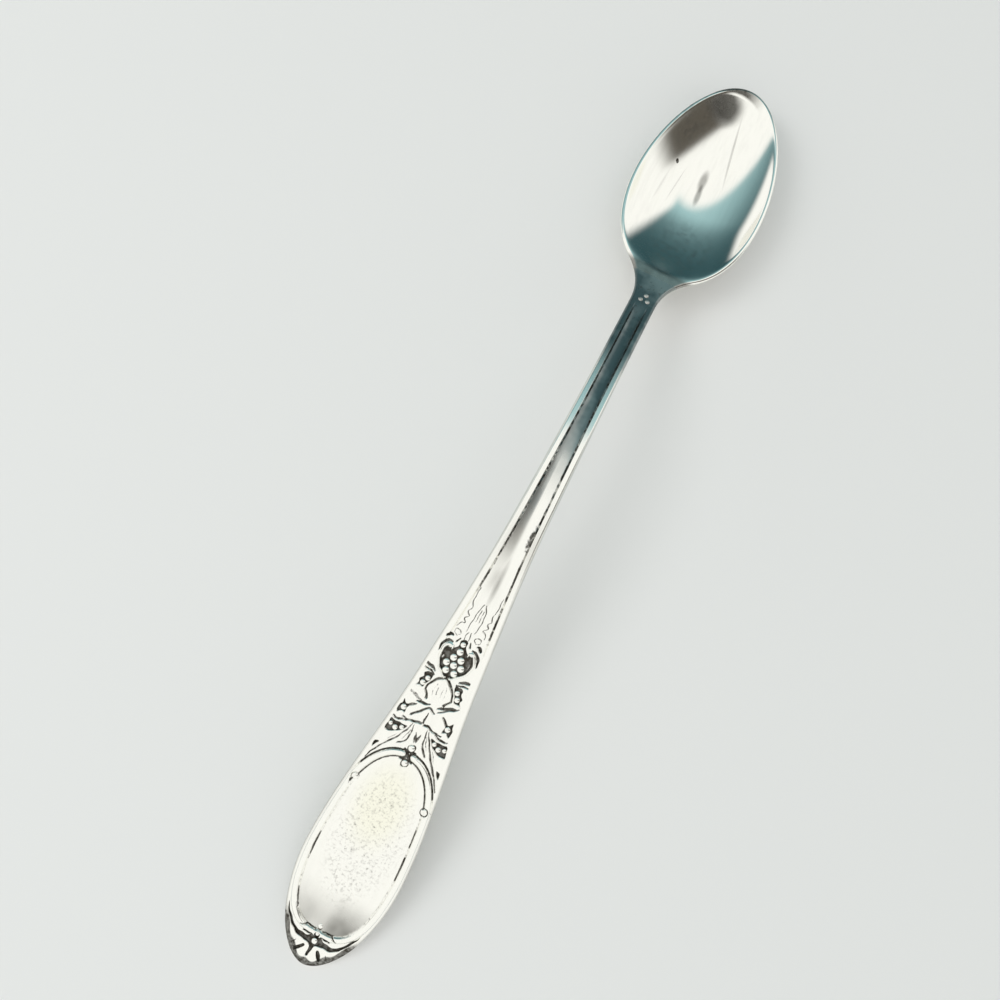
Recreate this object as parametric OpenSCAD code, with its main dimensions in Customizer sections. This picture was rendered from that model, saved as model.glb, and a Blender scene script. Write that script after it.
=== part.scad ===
// Long-handled infant feeding spoon, struck from one blank. It lies bowl up on a table, with the handle
// tip at -X, the bowl tip at +X and +Z up. Lengths called "along" run from the handle tip.

/* [Spoon] */
// Length from the handle tip to the bowl tip
length = 140; // [130:1:150]
// Height of the stem's crown over the table
crown_h = 14; // [12:0.1:16]
// Distance of the crown behind the bowl's heel
crown_back = 33; // [28:0.5:38]
// Steepness of the handle where it leaves the table
tip_slope = 0.18; // [0.12:0.01:0.24]

/* [Bowl] */
// Length of the bowl from heel to tip
bowl_l = 35.6; // [33:0.2:39]
// Width of the bowl over its rim
bowl_w = 20.7; // [18:0.1:23]
// Depth of the hollow below the rim
bowl_depth = 5; // [4.4:0.1:6]
// Thickness of the bowl at its bottom
bowl_wall = 1; // [0.8:0.05:1.4]
// Distance of the widest and deepest place from the bowl tip
bowl_widest = 20; // [18:0.5:22]
// Width of the rim's flat lip
rim_w = 0.5; // [0.4:0.05:0.8]
// Thickness of the rim's edge
rim_t = 0.8; // [0.6:0.05:1]
// Height of the heel over the lowest part of the rim
heel_rise = 1; // [0.5:0.1:1.5]
// Drop of the bowl tip under the lowest part of the rim
tip_dip = 0.1; // [0:0.05:0.5]
// Flat land between the heel and the hollow
heel_land = 1; // [0.6:0.1:1.8]

/* [Neck] */
// Length of the neck from the stem to the bowl's heel
neck_l = 8; // [7:0.5:11]
// Length of the flare on the neck's side of the heel
flare_l = 5; // [4:0.1:6]
// Length of the flare on the bowl's side of the heel
flare_in = 2; // [1.5:0.1:2.5]
// Diameter of the beads on the neck
neck_bead_d = 0.9; // [0.6:0.05:1.1]

/* [Stem] */
// Width of the stem at its narrowest place
stem_w = 3.8; // [3.4:0.1:4.2]
// Width of the stem where it leaves the handle
stem_low_w = 4.84; // [4.4:0.02:5.6]
// Thickness of the stem
stem_t = 2.4; // [2:0.05:3]
// Thickness of the stem at its edges
stem_edge = 1.3; // [1.1:0.05:1.7]
// Depth of the flute along the middle of the stem
flute_d = 0.2; // [0.1:0.01:0.25]

/* [Handle] */
// Length of the handle from its tip to the stem
handle_l = 62; // [58:1:68]
// Width of the handle at its widest place
handle_w = 13.9; // [13:0.1:15]
// Distance of the widest place from the handle tip
handle_widest = 14; // [12:0.5:16]
// Width of the handle at its shoulder
shoulder_w = 8.2; // [7.8:0.1:9]
// Distance of the shoulder from the handle tip
shoulder_at = 40; // [38:0.5:44]
// Thickness of the handle
handle_t = 1.8; // [1.5:0.05:2.2]
// Thickness of the handle at its edges
handle_edge = 1; // [0.8:0.05:1.3]
// Thickness of the handle tip
tip_t = 1.35; // [1.1:0.05:1.5]
// Width of the plain border along the edges
border_w = 0.9; // [0.7:0.05:1.1]
// Width of the groove inside the border
groove_w = 0.3; // [0.2:0.02:0.4]
// Depth of the groove
groove_d = 0.3; // [0.2:0.02:0.45]
// Depth of the field between the grooves
field_d = 0.15; // [0.08:0.01:0.2]

/* [Relief] */
// Start of the oval panel, along the handle
panel_from = 4.6; // [4.2:0.1:5]
// Length of the oval panel
panel_l = 25.6; // [25:0.1:26.2]
// Clear edge between the panel's frame and the handle's outline
frame_edge = 0.4; // [0.3:0.05:0.6]
// Width of the panel's frame
frame_w = 0.8; // [0.6:0.05:1]
// Height of the panel's frame over the field
frame_h = 0.3; // [0.2:0.02:0.4]
// Diameter of the beads round the panel
bead_d = 0.95; // [0.7:0.05:1.1]
// Length of the stalks between the panel and the vine leaf
stalk_l = 2.3; // [2:0.1:2.8]
// Width of the stalks and of the heart-shaped scroll
stroke_w = 0.45; // [0.35:0.05:0.55]
// Length of the vine leaf
leaf_l = 6.3; // [5.4:0.1:7]
// Width of the vine leaf
leaf_w = 6.2; // [5.4:0.1:6.6]
// Height of the vine leaf over the field
leaf_h = 0.4; // [0.25:0.05:0.5]
// Diameter of one berry
berry_d = 0.85; // [0.7:0.05:0.95]
// Width of the heart-shaped scroll round the berries
heart_w = 4.5; // [4.4:0.1:4.9]
// Diameter of the two rosettes over the scroll
rosette_d = 1.3; // [1:0.05:1.5]
// Length of the crest on the handle tip
crest_l = 1.7; // [1.4:0.1:1.9]
// Clear gap between neighbouring pieces of relief
relief_gap = 0.15; // [0.1:0.01:0.25]

/* [Hidden] */

// Places along the spoon
heel = length - bowl_l;
deep = length - bowl_widest;
crown = heel - crown_back;
flare_from = heel - flare_l;
flare_to = heel + flare_in;
stem_to = heel - neck_l;
rim_h = bowl_depth + bowl_wall;
heel_slope = -0.19;

// Fullness of the rounded ends: 2 is an ellipse
handle_tip_fullness = 1.85;
panel_low_fullness = 2.9;
panel_high_fullness = 2.3;
// Half the width of the blunt noses at both tips
nose = 0.45;
// Roundness of the hollow and of the underside, and how softly the hollow's floor bends up to the heel
hollow_round = 0.85;
back_round = 0.4;
heel_bend = 0.2;
// Rounding of the long edges
edge_r = 0.2;
edge_drop = 0.12;
// Largest shares of the half-width that the border, the groove and the rounding take where the spoon is slim
border_share = 0.45;
groove_share = 0.15;
edge_share = 0.2;
// Lengths over which the grooves and the flute run out
run_out = 3;
flute_from = handle_l - 10.5;
flute_in = 2;
// Length over which the neck's thickness sinks into the bowl
tongue_l = 7;
// Sharpness of the crease where the stem's back runs into the bowl
blend = 4;

// Places of the relief along the handle, each set off from the one before it
panel_to = panel_from + panel_l;
border_from = panel_to - 5;
bead_off = frame_w / 2 + relief_gap + bead_d / 2;
top_bead_at = panel_to + bead_off;
stalks_from = top_bead_at + bead_d / 2 + relief_gap;
leaf_from = stalks_from + stalk_l + relief_gap;
heart_from = leaf_from + leaf_l + relief_gap;
low_bead_at = panel_from - bead_off;
neck_pair_at = stem_to + run_out + neck_bead_d / 2;

// The five-lobed leaf: its lobes lie 72 degrees apart, with the notch for the stalk between the lowest two
lobes = 5;
leaf_notch = 0.5;
lobe_round = 0.8;
leaf_r = leaf_l / (1 + cos(180 / lobes));
leaf_at = leaf_from + leaf_r * cos(180 / lobes);
leaf_stretch = leaf_w / 2 / (leaf_r * sin(360 / lobes));

// The berries: rows counted from the leaf, set in a heart-shaped scroll
berry_rows = [2, 3, 2, 1];
berry_pitch = berry_d + relief_gap;
berry_step = berry_pitch * sin(60);
middle_row = (len(berry_rows) - 1) / 2;
heart_reach = middle_row * berry_step + berry_d / 2 + relief_gap + stroke_w / 2;
heart_half = (heart_w - stroke_w) / 2;
heart_at = heart_from + heart_reach + stroke_w / 2;
heart_lobe = 1.2;
rosettes_at = heart_at + heart_reach + stroke_w / 2 + relief_gap + rosette_d / 2 + heart_lobe / 4;

// The shell on the handle tip
petals = 5;
petal_spread = 40;
petal_round = 0.6;
petal_middle = 0.6;

function clamp(t) = min(1, max(0, t));
function smooth(a, b, x) = let (t = clamp((x - a) / (b - a))) t * t * (3 - 2 * t);
function mix(a, b, t) = a + (b - a) * t;
// Cubic between two places, with the height and slope given at each
function cubic(x, x0, x1, y0, y1, m0, m1) =
    let (s = x1 - x0, t = (x - x0) / s)
    y0 * (1 + 2 * t) * pow(1 - t, 2) + y1 * (3 - 2 * t) * t * t
    + s * m0 * t * pow(1 - t, 2) - s * m1 * t * t * (1 - t);
// Half-width of a rounded end of half-width 1, q of the way from its widest place to its tip
function rounded(q, fullness) = pow(max(0, 1 - pow(abs(q), fullness)), 1 / fullness);

// Place along the bowl as a share: -1 at its near end, 0 where it is deepest and 1 at its far end
function share(u, from, to) =
    let (v = u - deep, a = deep - from, b = to - deep)
    v * (a + b) / (2 * a * b + (b - a) * v);
// Half-width of the egg-shaped plan, drawn in from the bowl's outline by the inset and the heel's land
function egg(u, inset, land) =
    (bowl_w / 2 - inset) * sqrt(max(0, 1 - pow(share(u, heel + land, length - inset), 2)));
tiny = 0.01;
egg_slope = (egg(flare_to + tiny, 0, 0) - egg(flare_to - tiny, 0, 0)) / (2 * tiny);

// Slopes of the outline at the shoulder and where the stem leaves the handle
shoulder_slope = (stem_low_w - handle_w) / 2 / (handle_l - handle_widest);
stem_slope = (stem_w - shoulder_w) / 2 / (flare_from - shoulder_at);

// Half-width of the spoon's outline
function half(u) = max(nose,
    u < handle_widest ? handle_w / 2 * rounded(1 - u / handle_widest, handle_tip_fullness)
    : u < shoulder_at ? cubic(u, handle_widest, shoulder_at, handle_w / 2, shoulder_w / 2, 0, shoulder_slope)
    : u < handle_l
        ? cubic(u, shoulder_at, handle_l, shoulder_w / 2, stem_low_w / 2, shoulder_slope, stem_slope)
    : u < flare_from ? cubic(u, handle_l, flare_from, stem_low_w / 2, stem_w / 2, stem_slope, 0)
    : u < flare_to ? cubic(u, flare_from, flare_to, stem_w / 2, egg(flare_to, 0, 0), 0, egg_slope)
    : egg(u, 0, 0));

// Height of the border on the handle and stem, and of the rim on the bowl
function spine(u) =
    u < crown ? cubic(u, 0, crown, tip_t, crown_h, tip_slope, 0)
    : u < heel ? cubic(u, crown, heel, crown_h, rim_h + heel_rise, 0, heel_slope)
    : u < deep ? cubic(u, heel, deep, rim_h + heel_rise, rim_h, heel_slope, 0)
    : cubic(u, deep, length, rim_h, rim_h - tip_dip, 0, 0);

// How strongly the sunk field, the border with its groove, and the flute show
function sunk(u) = 1 - smooth(stem_to, stem_to + run_out, u);
function bordered(u) = smooth(border_from, border_from + run_out, u);
function flute(u) = smooth(flute_from, flute_from + flute_in, u) * sunk(u);

// Border, groove and half-width of the field
function border(u) = min(border_w, border_share * half(u));
function groove(u) = min(groove_w, groove_share * half(u));
function field(u) = half(u) - border(u) - groove(u);
// Place across where the rounding of the edge starts
function brink(u) = half(u) - min(edge_r, edge_share * half(u));
// Height of the field that the relief stands on
function seat(u) = spine(u) - field_d * sunk(u);

// Half-width of the hollow, and its depth along the bowl as a share of its greatest depth
function hollow_half(u) = u < deep ? half(u) - rim_w : egg(u, rim_w, heel_land);
function bent(q) = sqrt(q * q + heel_bend * heel_bend) - heel_bend;
function cup(q) = abs(q) >= 1 ? 0 : q < 0 ? 1 - bent(q) / bent(1) : pow(1 - q * q, hollow_round);
// Depth of the hollow below the rim
function hollow(u, y) =
    let (w = hollow_half(u), q = share(u, heel + heel_land, length - rim_w))
    abs(y) >= w ? 0 : bowl_depth * cup(q) * pow(1 - pow(y / w, 2), hollow_round);

// Thickness of the edge, and what the underside swells below it
function edge(u) = u < stem_to ? mix(handle_edge, stem_edge, smooth(shoulder_at, handle_l, u))
                               : mix(stem_edge, rim_t, smooth(stem_to, heel, u));
function middle(u) = u < stem_to
    ? min(spine(u), mix(handle_t, stem_t, smooth(shoulder_at, handle_l, u)))
    : mix(stem_t, rim_t, smooth(heel, heel + tongue_l, u));
function swell(u, y) =
    let (side = max(0, 1 - pow(y / half(u), 2)),
         q = share(u, heel, length),
         shank = max(0, middle(u) - edge(u)) * pow(side, back_round),
         belly = (rim_h - rim_t) * cup(q) * pow(side, hollow_round))
    pow(pow(shank, blend) + pow(belly, blend), 1 / blend);

// Places across one half of a section, from the middle to the rounded edge
half_steps = 8;
bowl_shares = [0, 0.26, 0.5, 0.7, 0.86, 0.96, 1];
least_hollow = 0.3;
function shank_row(u) =
    let (f = field(u), g = groove(u))
    [0, f / 3, f * 2 / 3, f, f + g / 2, f + g, half(u) - border(u) / 2, brink(u)];
function bowl_row(u) =
    let (w = max(hollow_half(u), least_hollow * half(u)))
    concat(bowl_shares * w, [brink(u)]);
function row(u) = mix(shank_row(u), bowl_row(u), smooth(heel - flare_in, heel + heel_land, u));
// Depth of the struck lines below the border, at each of those places
function border_line(i) = i == 4 ? groove_d : i == half_steps - 1 ? edge_drop : 0;
function lines(u, i, y) = i < 4
    ? field_d * sunk(u) + flute_d * flute(u) * (1 - pow(y / field(u), 2))
    : mix(field_d, border_line(i), bordered(u)) * sunk(u);

function top_point(u, i, side) =
    let (y = row(u)[i]) [u - length / 2, side * y, spine(u) - lines(u, i, y) - hollow(u, y)];
function back_point(u, i, side) =
    let (y = row(u)[i]) [u - length / 2, side * y, spine(u) - edge(u) - swell(u, y)];
function edge_point(u, side) = [u - length / 2, side * half(u), spine(u) - (edge(u) + edge_drop) / 2];

// One closed section: over the top from right to left, then back along the underside
last = half_steps - 1;
wide = 2 * half_steps - 1;
function section(u) = concat(
    [for (i = [last:-1:0]) top_point(u, i, -1)], [for (i = [1:last]) top_point(u, i, 1)],
    [edge_point(u, 1)],
    [for (i = [last:-1:0]) back_point(u, i, 1)], [for (i = [1:last]) back_point(u, i, -1)],
    [edge_point(u, -1)]);

// Solid through the sections at the given places; its flat ends match those of its neighbours
module loft(places) {
    ring = 2 * wide + 2;
    end = (len(places) - 1) * ring;
    skin = [for (s = [0:len(places) - 2], k = [0:ring - 1])
        let (a = s * ring + k, b = s * ring + (k + 1) % ring)
        each [[a, b, a + ring], [b, b + ring, a + ring]]];
    strip = [for (k = [0:wide - 2]) each [[k, 2 * wide - 1 - k, k + 1], [k, 2 * wide - k, 2 * wide - 1 - k]]];
    cap = concat(strip, [[wide - 1, wide + 1, wide], [0, 2 * wide + 1, 2 * wide]]);
    far_cap = [for (t = cap) [t[2] + end, t[1] + end, t[0] + end]];
    polyhedron([for (u = places) each section(u)], concat(skin, cap, far_cap));
}

// Places along each part, closer together where the outline turns fast
function evenly(a, b, n) = [for (k = [0:n]) a + (b - a) * k / n];
function from_tip(a, b, n) = [for (k = [0:n]) b - (b - a) * cos(90 * k / n)];
function to_tip(a, b, n) = [for (k = [0:n]) a + (b - a) * sin(90 * k / n)];
function tail(list) = [for (i = [1:len(list) - 1]) list[i]];

// Radius of the leaf in the direction a, measured from the leaf's tip
function leaf_edge(a) = leaf_r * mix(leaf_notch, 1, pow(abs(cos(a * lobes / 2)), lobe_round));

// Slope of the field, and a point that stands h over it
function slope(u) = (seat(u + tiny) - seat(u - tiny)) / (2 * tiny);
function on_field(p, h) = [p[0] - length / 2, p[1], seat(p[0]) + h];

// Half-round bead of the given diameter standing on the field
module bead(u, y, d) {
    translate([u - length / 2, y, seat(u)]) rotate([0, -atan(slope(u)), 0]) intersection() {
        sphere(d = d, $fn = 32);
        translate([-d, -d, 0]) cube(2 * d);
    }
}

// Crowned patch of relief inside an outline that goes round its own middle
module patch(middle_at, outline, h) {
    n = len(outline);
    shoulder = 0.55;
    shoulder_h = 0.85 * h;
    rim_of_patch = 0.4 * h;
    points = concat([on_field(middle_at, h)],
                    [for (p = outline) on_field(mix(middle_at, p, shoulder), shoulder_h)],
                    [for (p = outline) on_field(p, rim_of_patch)],
                    [for (p = outline) on_field(p, 0)],
                    [on_field(middle_at, 0)]);
    foot = 3 * n + 1;
    faces = [for (k = [0:n - 1]) let (j = (k + 1) % n) each [
        [0, 1 + j, 1 + k], [foot, foot - n + k, foot - n + j],
        each [for (r = [1, n + 1]) each [[r + k, r + j, r + n + k], [r + j, r + n + j, r + n + k]]]]];
    polyhedron(points, faces);
}

// Half-round moulding along a path on the field, as a ring or with flat ends
module moulding(path, w, h, ring) {
    n = len(path);
    profile = [[-0.5, 0], [-0.35, 0.75], [0, 1], [0.35, 0.75], [0.5, 0]];
    m = len(profile);
    function along(i) = let (
        a = path[ring ? (i + n - 1) % n : max(0, i - 1)], b = path[ring ? (i + 1) % n : min(n - 1, i + 1)])
        (b - a) / norm(b - a);
    points = [for (i = [0:n - 1], q = profile)
        let (t = along(i)) on_field(path[i] + w * q[0] * [-t[1], t[0]], h * q[1])];
    skin = [for (i = [0:ring ? n - 1 : n - 2], k = [0:m - 1])
        let (a = i * m + k, b = i * m + (k + 1) % m, c = ((i + 1) % n) * m)
        each [[a, b, c + k], [b, c + (k + 1) % m, c + k]]];
    ends = ring ? [] : [for (k = [1:m - 2]) each [
        [0, k + 1, k], [(n - 1) * m, (n - 1) * m + k, (n - 1) * m + k + 1]]];
    polyhedron(points, concat(skin, ends));
}

// Petal of a shell that spreads from a centre, in the given direction
module petal(centre, turn, from, l, spread, h) {
    function place(x, y) = centre + [x * cos(turn) - y * sin(turn), x * sin(turn) + y * cos(turn)];
    outline = [for (a = [0:24:359])
        let (x = from + l * (1 - cos(a)) / 2, room = x * tan(spread / 2) - relief_gap / 2)
        place(x, -room * sign(sin(a)) * pow(abs(sin(a)), petal_round))];
    patch(place(from + petal_middle * l, 0), outline, h);
}

module bowl() color("gainsboro")
    loft(concat(from_tip(heel, deep, 15), tail(to_tip(deep, length, 15))));

module neck() color("lightgray")
    loft(evenly(stem_to, heel, 10));

module stem() color("silver")
    loft(evenly(handle_l, stem_to, 12));

module handle() color("gainsboro")
    loft(concat(from_tip(0, handle_widest, 12), tail(evenly(handle_widest, handle_l, 26))));

module oval_frame() color("white") {
    at = panel_from + panel_l / 2;
    clear = frame_edge + frame_w / 2;
    path = [for (a = [0:5:359])
        let (fullness = cos(a) < 0 ? panel_low_fullness : panel_high_fullness,
             u = at + panel_l / 2 * sign(cos(a)) * pow(abs(cos(a)), 2 / fullness),
             y = (handle_w / 2 - clear) * pow(abs(sin(a)), 2 / fullness))
        [u, sign(sin(a)) * min(y, half(u) - clear)]];
    moulding(path, frame_w, frame_h, true);
}

module frame_beads() color("white") {
    for (end = [panel_from, panel_to], side = [-1, 1]) bead(end + side * bead_off, 0, bead_d);
}

module leaf_stalks() color("whitesmoke") {
    root = stroke_w + relief_gap;
    tip = field(stalks_from + stalk_l) - relief_gap - stroke_w / 2;
    for (side = [-1, 1])
        moulding([for (k = [0:10]) [stalks_from + stalk_l * k / 10, side * mix(root, tip, sin(9 * k))]],
                 stroke_w, frame_h, false);
    moulding([for (k = [0:4]) [mix(stalks_from, leaf_at - leaf_r * leaf_notch - relief_gap, k / 4), 0]],
             stroke_w, frame_h, false);
}

module vine_leaf() color("white") {
    centre = [leaf_at, 0];
    patch(centre, [for (a = [0:6:359]) centre + leaf_edge(a) * [cos(a), leaf_stretch * sin(a)]], leaf_h);
}

module berry_cluster() color("white")
    for (r = [0:len(berry_rows) - 1], k = [0:berry_rows[r] - 1])
        bead(heart_at + (r - middle_row) * berry_step, (k - (berry_rows[r] - 1) / 2) * berry_pitch, berry_d);

module heart_scroll() color("whitesmoke")
    moulding([for (a = [0:8:359])
        [heart_at + heart_reach * cos(a) + heart_lobe * max(0, cos(a)) * abs(sin(a)), heart_half * sin(a)]],
        stroke_w, frame_h, true);

module rosettes() color("white")
    for (side = [-1, 1])
        bead(rosettes_at, side * (field(rosettes_at) - relief_gap - rosette_d / 2), rosette_d);

module tip_crest() color("white")
    for (k = [0:petals - 1])
        petal([low_bead_at, 0], 180 + (k - (petals - 1) / 2) * petal_spread, bead_d / 2 + relief_gap, crest_l,
              petal_spread, leaf_h);

module neck_beads() color("white") {
    pitch = neck_bead_d + relief_gap;
    for (side = [-1, 1]) bead(neck_pair_at, side * pitch / 2, neck_bead_d);
    bead(neck_pair_at + pitch * sin(60), 0, neck_bead_d);
}

bowl();
neck();
stem();
handle();
oval_frame();
frame_beads();
leaf_stalks();
vine_leaf();
berry_cluster();
heart_scroll();
rosettes();
tip_crest();
neck_beads();
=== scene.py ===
import math

import bpy
import numpy as np
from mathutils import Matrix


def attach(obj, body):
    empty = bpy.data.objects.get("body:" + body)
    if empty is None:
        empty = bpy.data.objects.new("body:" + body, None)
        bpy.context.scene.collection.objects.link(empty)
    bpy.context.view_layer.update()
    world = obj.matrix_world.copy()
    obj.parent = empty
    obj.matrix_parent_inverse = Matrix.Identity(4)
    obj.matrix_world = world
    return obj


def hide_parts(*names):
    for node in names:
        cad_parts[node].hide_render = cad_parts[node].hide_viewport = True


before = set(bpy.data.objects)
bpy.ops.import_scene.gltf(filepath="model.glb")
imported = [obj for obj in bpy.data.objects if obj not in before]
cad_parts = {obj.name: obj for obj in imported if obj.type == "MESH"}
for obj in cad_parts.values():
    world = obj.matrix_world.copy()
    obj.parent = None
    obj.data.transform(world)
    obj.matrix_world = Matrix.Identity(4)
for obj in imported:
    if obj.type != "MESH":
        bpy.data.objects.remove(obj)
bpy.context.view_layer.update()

# Camera
# A wide lens close over the spoon, ten degrees from straight down and turned so that the spoon runs up
# the picture from the lower left. The place is in metres and the turns are in degrees.
camera = bpy.data.objects.new("camera", bpy.data.cameras.new("camera"))
camera.data.sensor_width = 36
camera.data.lens = 27.04
camera.data.clip_start = 0.005
camera.location = (-0.02203, 0, 0.10761)
camera.rotation_euler = [math.radians(turn) for turn in (9.81, -1.95, -62.65)]
bpy.context.scene.collection.objects.link(camera)
bpy.context.scene.camera = camera

# Bowl
# The egg-shaped bowl is one end of a single strip of nickel silver, struck hollow between two dies and
# silver-plated. Its rim is dressed to a thin lip. Sizes are in millimetres, from the handle tip along.
length = 140
bowl_l = 35.6
bowl_w = 20.7
bowl_widest = 20
bowl_depth = 5
bowl_wall = 1
rim_w = 0.5
rim_t = 0.8
heel_rise = 1
heel_slope = -0.19
tip_dip = 0.1
heel_land = 1
tongue_l = 7
flare_l = 5
flare_in = 2
stem_w = 3.8
stem_t = 2.4
side_round = 0.85
heel_bend = 0.2
back_round = 0.4
lip = 0.22
bowl_edge = 0.6
# Painted dark reflection on the neck, and where it fades out in the bowl's heel
neck_painted_reflection = 1
heel_reflection_full = 1.2
heel_reflection_ends = 2.2
tiny = 1e-6
per_metre = 1000

heel = length - bowl_l
deep = length - bowl_widest
rim_h = bowl_depth + bowl_wall
heel_h = rim_h + heel_rise
flare_from = heel - flare_l
flare_to = heel + flare_in


def smooth(start, end, x):
    t = np.clip((x - start) / (end - start), 0, 1)
    return t * t * (3 - 2 * t)


def mix(a, b, t):
    return a + (b - a) * t


# A cubic between two places, with the height and slope given at each
def cubic(x, x0, x1, y0, y1, m0, m1):
    s = x1 - x0
    t = (x - x0) / s
    ends = y0 * (1 + 2 * t) * (1 - t) ** 2 + y1 * (3 - 2 * t) * t ** 2
    return ends + s * m0 * t * (1 - t) ** 2 - s * m1 * t ** 2 * (1 - t)


# Place along the bowl: -1 at its near end, 0 where it is deepest and 1 at its far end
def share(u, start, end):
    v = u - deep
    near = deep - start
    far = end - deep
    return v * (near + far) / (2 * near * far + (far - near) * v)


def egg(u, inset, land):
    q = share(u, heel + land, length - inset)
    return (bowl_w / 2 - inset) * np.sqrt(np.clip(1 - q ** 2, 0, None))


def bowl_half(u):
    step = 0.01
    egg_slope = (egg(flare_to + step, 0, 0) - egg(flare_to - step, 0, 0)) / (2 * step)
    flare = cubic(u, flare_from, flare_to, stem_w / 2, egg(flare_to, 0, 0), 0, egg_slope)
    return np.where(u < flare_to, flare, egg(u, 0, 0))


def rim(u):
    near = cubic(u, heel, deep, heel_h, rim_h, heel_slope, 0)
    far = cubic(u, deep, length, rim_h, rim_h - tip_dip, 0, 0)
    return np.where(u < deep, near, far)


# Depth along the bowl as a share: it rises almost straight to the heel and rounds up to the tip
def bent(q):
    return np.sqrt(q ** 2 + heel_bend ** 2) - heel_bend


def cup(q):
    near = 1 - bent(q) / bent(1)
    far = np.clip(1 - q ** 2, 0, None) ** side_round
    return np.clip(np.where(q < 0, near, far), 0, 1)


# The hollow sinks from a half-round lip, and the painted dark reflection of the neck ends at its heel
def bowl_top(u, y):
    inner = np.where(u < deep, bowl_half(u) - rim_w, egg(u, rim_w, heel_land))
    q = np.clip(share(u, heel + heel_land, length - rim_w), -1, 1)
    sink = bowl_depth * cup(q) * np.clip(1 - (y / np.maximum(inner, tiny)) ** 2, 0, 1) ** side_round
    dull = neck_painted_reflection * smooth(heel + heel_reflection_ends, heel + heel_reflection_full, u)
    return rim(u) - (np.sqrt(sink ** 2 + lip ** 2) - lip), 0 * sink, dull


def bowl_back(u, y):
    side = np.clip(1 - (y / np.maximum(bowl_half(u), tiny)) ** 2, 0, 1)
    shank = (mix(stem_t, rim_t, smooth(heel, heel + tongue_l, u)) - rim_t) * side ** back_round
    belly = (rim_h - rim_t) * cup(share(u, heel, length)) * side ** side_round
    return rim(u) - rim_t - (shank ** 4 + belly ** 4) ** 0.25


# Distance of a place from the outline that has the given half width
def from_outline(u, y, half):
    step = 0.005
    turn = (half(u + step) ** 2 - half(u - step) ** 2) / (4 * step)
    return (half(u) ** 2 - y ** 2) / (2 * np.sqrt(turn ** 2 + y ** 2) + 1e-9)


# A closed skin over and under the outline at the given places, with a rounded edge. An end whose width
# runs out closes in a point, and any other end is a flat face that meets the next part of the strip.
# Points crowd towards the edges, and the plain back has fewer of them.
across = 161
back_step = 4
crowding = 0.6
no_width = 1e-4


def skin(name, places, half, top, back, edge_r):
    u = np.asarray(places)[:, None]
    even = np.linspace(-1, 1, across)
    y = half(u) * mix(even, np.sin(even * math.pi / 2), crowding)
    rounding = np.sqrt(1 - (1 - np.clip(from_outline(u, y, half) / edge_r, 0, 1)) ** 2)
    over, dark, dull = top(u + 0 * y, y)
    under = back(u + 0 * y, y)
    middle = (over[:, :1] + under[:, :1]) / 2
    over = middle + (over - middle) * rounding
    under = middle + (under - middle) * rounding
    kept = np.arange(across - 1 - back_step, 0, -back_step)
    x = u - length / 2 + 0 * y
    rings = np.concatenate([np.stack([x, y, over], 2), np.stack([x, y, under], 2)[:, kept]], 1)
    wear = np.stack([dark, dull], 2)
    wear = np.concatenate([wear, 0 * wear[:, kept]], 1)
    ring = rings.shape[1]
    pointed = [half(places[0]) < no_width, half(places[-1]) < no_width]
    body = slice(int(pointed[0]), len(places) - int(pointed[1]))
    points = rings[body].reshape(-1, 3)
    wear = wear[body].reshape(-1, 2)
    count = len(points) // ring
    k = np.arange(ring)
    first = (np.arange(count - 1)[:, None] * ring + k).ravel()
    after = (np.arange(count - 1)[:, None] * ring + (k + 1) % ring).ravel()
    faces = np.stack([first, first + ring, after + ring, after], 1).tolist()
    last = (count - 1) * ring
    if pointed[0]:
        points = np.concatenate([points, rings[0, :1]])
        wear = np.concatenate([wear, wear[:1]])
        faces += [[len(points) - 1, i, (i + 1) % ring] for i in range(ring)]
    if pointed[1]:
        points = np.concatenate([points, rings[-1, :1]])
        wear = np.concatenate([wear, wear[-1:]])
        faces += [[len(points) - 1, last + (i + 1) % ring, last + i] for i in range(ring)]
    smooth_faces = len(faces)
    if not pointed[0]:
        faces.append(list(range(ring)))
    if not pointed[1]:
        faces.append([last + i for i in reversed(range(ring))])
    mesh = bpy.data.meshes.new(name)
    mesh.from_pydata((points / per_metre).tolist(), [], faces)
    for kind, values in zip(("tarnish", "film"), wear.T):
        mesh.attributes.new(kind, "FLOAT", "POINT").data.foreach_set("value", values.astype(np.float32))
    mesh.polygons.foreach_set("use_smooth", np.arange(len(faces)) < smooth_faces)
    mesh.update()
    for cap in mesh.polygons[smooth_faces:]:
        for corner in cap.loop_indices:
            mesh.edges[mesh.loops[corner].edge_index].use_edge_sharp = True
    piece = bpy.data.objects.new(name, mesh)
    bpy.context.scene.collection.objects.link(piece)
    return piece


heel_rings = 60
tip_rings = 90
to_tip = np.sin(np.linspace(0, math.pi / 2, tip_rings))
bowl_places = np.concatenate([np.linspace(heel, deep, heel_rings), deep + (length - deep) * to_tip[1:]])
bowl = skin("bowl", bowl_places, bowl_half, bowl_top, bowl_back, bowl_edge)


# The wear of old silver plate: tarnish that stays in the recesses, a dull film, fine lengthwise rubbing
# and a cloudy polish. It is shared by every part of the spoon, and its tarnish and film also carry painted
# dark reflection.
def add(tree, kind, **values):
    node = tree.nodes.new(kind)
    for key, value in values.items():
        setattr(node, key, value)
    return node


def math_node(tree, operation, first, second):
    node = add(tree, "ShaderNodeMath", operation=operation)
    for socket, value in zip(node.inputs, (first, second)):
        if isinstance(value, bpy.types.NodeSocket):
            tree.links.new(value, socket)
        else:
            socket.default_value = value
    return node.outputs[0]


def map_range(tree, value, low, high, to_low, to_high):
    node = add(tree, "ShaderNodeMapRange", interpolation_type="SMOOTHSTEP")
    tree.links.new(value, node.inputs["Value"])
    for key, number in (("From Min", low), ("From Max", high), ("To Min", to_low), ("To Max", to_high)):
        node.inputs[key].default_value = number
    return node.outputs["Result"]


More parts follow.
